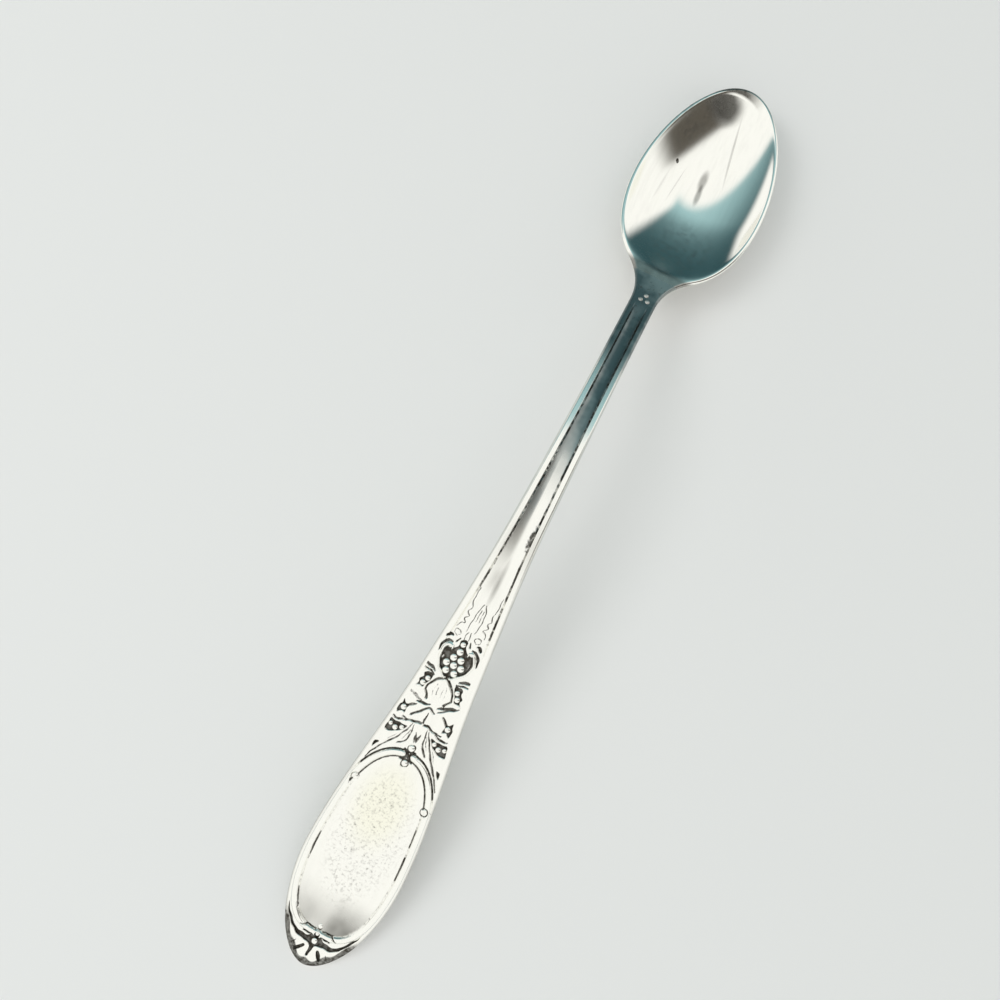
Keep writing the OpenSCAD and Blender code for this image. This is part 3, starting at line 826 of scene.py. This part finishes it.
# The heart-shaped scroll on dark ground, and the small scrolls and leafy edges that end the design
def cut_heart(face):
    face.pocket([(41.2, -0.5), (41.25, 0.3), (41.6, 0.95), (42.3, 1.65), (43.2, 2.05), (44.1, 2.05),
                 (44.7, 1.7), (44.8, 1.15), (45.1, 0.75), (45.5, 0.5), (46.2, 0.45), (46.2, -0.5)])
    scroll = [(41.05, 0.35, 0.3), (41.5, 1.05, 0.34), (42.2, 1.75, 0.36), (43.2, 2.2, 0.38),
              (44.2, 2.2, 0.4), (44.95, 1.75, 0.4), (45, 1.2, 0.36), (44.6, 1.1, 0.34)]
    face.lift(stroke(face.u, face.v, scroll), 0.04, 0.14)
    face.dark = face.dark * (1 - 1.4 * np.clip(oval(face.u, face.v, (43.4, 1.72), (1, 0.36)), 0, 0.36))
    face.lines([[(43.9, 2.62, 0.14), (44.8, 2.5, 0.3), (45.35, 2, 0.34), (45.5, 1.4, 0.2)],
                [(45.95, 2.35, 0.3), (46.2, 2.05, 0.4), (46.2, 1.7, 0.16)],
                [(45.75, 0.95, 0.2), (46.3, 0.7, 0.12)]], 0.26, 0.85)
    face.lines([[(46.6, 1.2, 0.1), (46.85, 0.95, 0.1), (47.2, 1.2, 0.12), (47.1, 1.75, 0.12),
                 (46.6, 1.75, 0.1), (46.45, 1.3, 0.1)],
                [(46.2, 0.25, 0.1), (46.9, 0.3, 0.12), (47.5, 0.15, 0.1)],
                [(47.4, 1.95, 0.1), (48, 1.75, 0.12), (48.35, 1.25, 0.14), (48.75, 1.65, 0.12),
                 (49.3, 1.3, 0.14), (49.7, 1.65, 0.12), (50.4, 1.4, 0.12), (51.2, 1.65, 0.12),
                 (53, 1.6, 0.1)],
                [(47.4, 0.5, 0.1), (48.3, 0.6, 0.12), (50.2, 0.5, 0.12), (51.4, 0.15, 0.1)],
                [(49, 0.2, 0.08), (50.6, 0.16, 0.1)]], 0.05, 0.74)


# The whole face: the grooves come out of the design at its far end, and the tip has a bevelled edge with
# a dull scalloped band
bevel_d = 0.35
tip_film = 0.8
tip_tarnish = 0.58
painted_start_strength = 1.6


def handle_top(u, y):
    half = handle_half(u)
    face = Face(u, y)
    depth, dark = grooves(u, y, half)
    bordered = smooth(border_from, border_from + run_out, u) * mix(0.2, 1, smooth(44.5, 48, u))
    face.level = -mix(field_d, depth, bordered)
    face.dark = dark * np.where(y > 0, smooth(49, 55, u), smooth(45.5, 48, u))
    cut_tip(face)
    cut_frame(face, u, y)
    cut_ribbons(face)
    cut_leaf(face)
    cut_heart(face)
    bevel = bevel_d * smooth(1, 0.1, face.inward) * smooth(5, 1.5, u)
    scallop = (0.98 + 0.2 * np.cos(2.9 * np.abs(y) + 0.3)) * mix(0.5, 1, smooth(6, 2.5, u))
    tip_edge = smooth(scallop + 0.1, scallop - 0.1, face.inward) * smooth(7, 4.5, u)
    # A painted dark reflection where the flute starts
    painted_flute_start = painted_start_strength * oval(u, y, (54.4, -0.05), (3.8, 0.45))
    for dull in (tip_film * tip_edge, shank_painted_reflection(u, y, handle_half), painted_flute_start):
        face.film = np.maximum(face.film, dull)
    dark = np.maximum(face.dark * smooth(0.15, 0.3, face.inward), blotch(u, y))
    dark = np.maximum(dark, tip_tarnish * tip_edge)
    return rise(u) + face.level - bevel - flute(u, y, half), dark, face.film


def handle_back(u, y):
    edge = mix(handle_edge, stem_edge, smooth(shoulder_at, handle_l, u))
    middle = np.minimum(rise(u), mix(handle_t, stem_t, smooth(shoulder_at, handle_l, u)))
    side = np.clip(1 - (y / np.maximum(handle_half(u), tiny)) ** 2, 0, 1)
    return rise(u) - edge - np.clip(middle - edge, 0, None) * side ** back_round


# Rings lie close together in the crest and in the relief, and further apart on the plain panel: where
# each stretch ends, and how many rings it has
point_l = 1.6
point_rings = 30
stretches = ((6.4, 64), (24, 40), (54, 304), (handle_l, 21))
stretch_places = [point_l * (1 - np.cos(np.linspace(0, math.pi / 2, point_rings, endpoint=False)))]
stretch_from = point_l
for stretch_to, rings in stretches:
    stretch_places.append(np.linspace(stretch_from, stretch_to, rings, endpoint=False))
    stretch_from = stretch_to
handle_places = np.concatenate(stretch_places + [[handle_l]])
handle = skin("handle", handle_places, handle_half, handle_top, handle_back, shank_edge)


# The panel is finely pitted all over its middle, a few of the pits are dark, and its top is yellowed
yellowed = (0.94, 0.925, 0.74)


def panel_marks(tree, place):
    middle = map_range(tree, oval_reach(tree, place, (18.5, -0.2), (11, 5.6)), 1, 0.6, 0, 1)
    pits = noise(tree, place, scale=2300, detail=4)
    deepest = math_node(tree, "MULTIPLY", middle, map_range(tree, pits, 0.58, 0.74, 0, 0.55))
    dull = math_node(tree, "MULTIPLY", middle, map_range(tree, pits, 0.48, 0.68, 0, 0.3))
    warm = mix_colour(tree, oval_mark(tree, place, (23, 0.2), (8, 5), 0.55), plate, yellowed)
    return {"Tarnish": deepest, "Film": dull, "Silver": warm}


handle_silver = silver("handle silver", polish=0.18, rubbing=0.25, bump=0.4, marks=panel_marks)
handle.data.materials.append(handle_silver)
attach(handle, "root")
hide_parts("handle", "oval_frame", "leaf_stalks", "vine_leaf", "heart_scroll", "rosettes",
            "tip_crest")

# Beads and berries
# The round beads beside the panel, on the neck and in the bunch are struck domes of the same metal, lower
# than half a ball. Each is set on the surface below it by one pattern that takes its places and sizes.
dome_height = 0.45
dome_segments = 32
dome_rings = 20
bead_sunk = 0.05
berry_sunk = 0.14
neck_bead_sunk = 0.04
side_bead_r = 0.4
berry_r = 0.46
neck_bead_r = 0.36

studs = bpy.data.node_groups.new("struck studs", "GeometryNodeTree")
studs.interface.new_socket("Places", in_out="INPUT", socket_type="NodeSocketGeometry")
studs.interface.new_socket("Silver", in_out="INPUT", socket_type="NodeSocketMaterial")
studs.interface.new_socket("Rings", in_out="INPUT", socket_type="NodeSocketInt")
studs.interface.new_socket("Studs", in_out="OUTPUT", socket_type="NodeSocketGeometry")
taken = add(studs, "NodeGroupInput")
given = add(studs, "NodeGroupOutput")
ball = add(studs, "GeometryNodeMeshUVSphere")
dome = add(studs, "GeometryNodeTransform")
size_of = add(studs, "GeometryNodeInputNamedAttribute", data_type="FLOAT")
size_of.inputs["Name"].default_value = "radius"
set_on = add(studs, "GeometryNodeInstanceOnPoints")
solid = add(studs, "GeometryNodeRealizeInstances")
shaded = add(studs, "GeometryNodeSetShadeSmooth")
finished = add(studs, "GeometryNodeSetMaterial")
ball.inputs["Segments"].default_value = dome_segments
ball.inputs["Radius"].default_value = 1
dome.inputs["Scale"].default_value = (1, 1, dome_height)
studs.links.new(taken.outputs["Rings"], ball.inputs["Rings"])
studs.links.new(ball.outputs["Mesh"], dome.inputs["Geometry"])
studs.links.new(taken.outputs["Places"], set_on.inputs["Points"])
studs.links.new(dome.outputs["Geometry"], set_on.inputs["Instance"])
studs.links.new(size_of.outputs["Attribute"], set_on.inputs["Scale"])
studs.links.new(set_on.outputs["Instances"], solid.inputs["Geometry"])
studs.links.new(solid.outputs["Geometry"], shaded.inputs["Geometry"])
studs.links.new(shaded.outputs["Geometry"], finished.inputs["Geometry"])
studs.links.new(taken.outputs["Silver"], finished.inputs["Material"])
studs.links.new(finished.outputs["Geometry"], given.inputs["Studs"])


def stud_piece(name, places, seat, material):
    points = [((u - length / 2) / per_metre, y / per_metre, seat(u) / per_metre) for u, y, r in places]
    seeds = bpy.data.meshes.new(name + " places")
    seeds.from_pydata(points, [], [])
    sizes = np.array([r / per_metre for u, y, r in places], dtype=np.float32)
    seeds.attributes.new("radius", "FLOAT", "POINT").data.foreach_set("value", sizes)
    piece = bpy.data.objects.new(name, seeds)
    bpy.context.scene.collection.objects.link(piece)
    modifier = piece.modifiers.new("struck studs", "NODES")
    modifier.node_group = studs
    inputs = {item.name: item.identifier for item in studs.interface.items_tree if item.in_out == "INPUT"}
    modifier[inputs["Silver"]] = material
    modifier[inputs["Rings"]] = dome_rings
    evaluated = piece.evaluated_get(bpy.context.evaluated_depsgraph_get())
    mesh = bpy.data.meshes.new_from_object(evaluated)
    mesh.name = name
    piece.modifiers.remove(modifier)
    piece.data = mesh
    return piece


stud_silver = silver("stud silver", polish=0.2, rubbing=0.1, bump=0.3)

on_axis = ((3.58, 0.38), (4.62, 0.29), (5.65, 0.34), (top_beads[0], 0.42), (top_beads[1], 0.44))
beads = [(u, wander(u), r) for u, r in on_axis]
beads += [(side_bead[0], side * side_bead[1], side_bead_r) for side in (1, -1)]
panel_beads = stud_piece("panel_beads", beads, lambda u: rise(u) - field_d - bead_sunk, stud_silver)
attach(panel_beads, "root")
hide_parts("frame_beads")

bunch = [(u, wander(u), r) for u, r in ((45.7, 0.36), (44.72, berry_r), (42.87, berry_r))]
for side in (-1, 1):
    bunch += [(u, side * v + wander(u), berry_r) for u, v in ((41.95, 0.58), (42.87, 1.02), (43.79, 0.52))]
    bunch += [(u, side * v + wander(u), r) for u, v, r in pips]
berries = stud_piece("berries", bunch, lambda u: rise(u) - field_d - berry_sunk, stud_silver)
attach(berries, "root")
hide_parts("berry_cluster")

three = [(u, y, neck_bead_r) for u, y in ((99.85, 0.525), (99.85, -0.525), (100.76, 0))]
dull_studs = silver("dull stud silver", polish=0.24, rubbing=0.3, bump=0.4,
                    marks=lambda tree, place: {"Film": 0.6})
neck_beads = stud_piece("neck_beads", three, lambda u: arch(u) - neck_bead_sunk, dull_studs)
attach(neck_beads, "root")
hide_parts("neck_beads")

# Floor
# A plain sheet of pale matt paper that runs far past the picture. The spoon lies on it, on the bottom of
# its bowl and on its handle tip.
floor_half = 2
paper_white = (0.8, 0.8, 0.79)
paper_roughness = 0.9
floor_mesh = bpy.data.meshes.new("floor")
floor_mesh.from_pydata([(-floor_half, -floor_half, 0), (floor_half, -floor_half, 0),
                        (floor_half, floor_half, 0), (-floor_half, floor_half, 0)], [], [(0, 1, 2, 3)])
floor = bpy.data.objects.new("floor", floor_mesh)
bpy.context.scene.collection.objects.link(floor)
paper = bpy.data.materials.new("pale paper")
paper.use_nodes = True
paper_shader = paper.node_tree.nodes["Principled BSDF"]
paper_shader.inputs["Base Color"].default_value = (*paper_white, 1)
paper_shader.inputs["Roughness"].default_value = paper_roughness
floor_mesh.materials.append(paper)

# Light
# A soft white room with two darker walls, so that the silver has dark to show as well: a slate one ahead
# of the bowl, paler towards its top, and a brown one on the right. A soft lamp on the left gives the
# shadow.
white_wall = (1, 1, 0.98)
slate_low = (0.026, 0.072, 0.084)
slate_high = (0.38, 0.6, 0.63)
brown = (0.1, 0.09, 0.075)
backdrop = (0.85, 0.85, 0.85)
ahead = (1, 0, 0)
to_left = (0, 1, 0)
upwards = (0, 0, 1)

world = bpy.data.worlds.new("soft room")
bpy.context.scene.world = world
world.use_nodes = True
room = world.node_tree
sky = room.nodes["Background"]
looking = add(room, "ShaderNodeTexCoord").outputs["Generated"]


# Cover that grows from 0 to 1 between two distances along a direction of the room
def towards(direction, low, high):
    along = add(room, "ShaderNodeVectorMath", operation="DOT_PRODUCT")
    room.links.new(looking, along.inputs[0])
    along.inputs[1].default_value = direction
    return map_range(room, along.outputs["Value"], low, high, 0, 1)


def all_of(cover, *others):
    for other in others:
        cover = math_node(room, "MULTIPLY", cover, other)
    return cover


# Each wall ends where one of its covers runs out
slate = mix_colour(room, towards(upwards, 0.03, 0.93), slate_low, slate_high)
slate_wall = all_of(towards((-0.774, -0.09, 0.634), 0.19, 0.08), towards(to_left, -0.43, -0.28),
                    towards((0, 1, -1.2), 0.64, 0.46))
brown_wall = all_of(towards((0.863, 0.286, 0.417), 0.42, 0.34), towards(ahead, 0.5, 0.34),
                    towards(to_left, 0.1, -0.16), towards(ahead, -0.16, -0.03),
                    towards((0.707, 0, 0.707), 0.34, 0.4))
walls = mix_colour(room, slate_wall, white_wall, slate)
walls = mix_colour(room, brown_wall, walls, brown)
eye = add(room, "ShaderNodeLightPath").outputs["Is Camera Ray"]
room.links.new(mix_colour(room, eye, walls, backdrop), sky.inputs["Color"])

lamp = bpy.data.objects.new("left lamp", bpy.data.lights.new("left lamp", "AREA"))
lamp.data.size = 0.3
lamp.data.energy = 1.2
lamp.visible_glossy = False
lamp.location = (-0.2, 0.45, 0.5)
lamp.rotation_euler = [math.radians(turn) for turn in (-42, 0, -24)]
bpy.context.scene.collection.objects.link(lamp)

bpy.context.scene.view_settings.view_transform = "Standard"
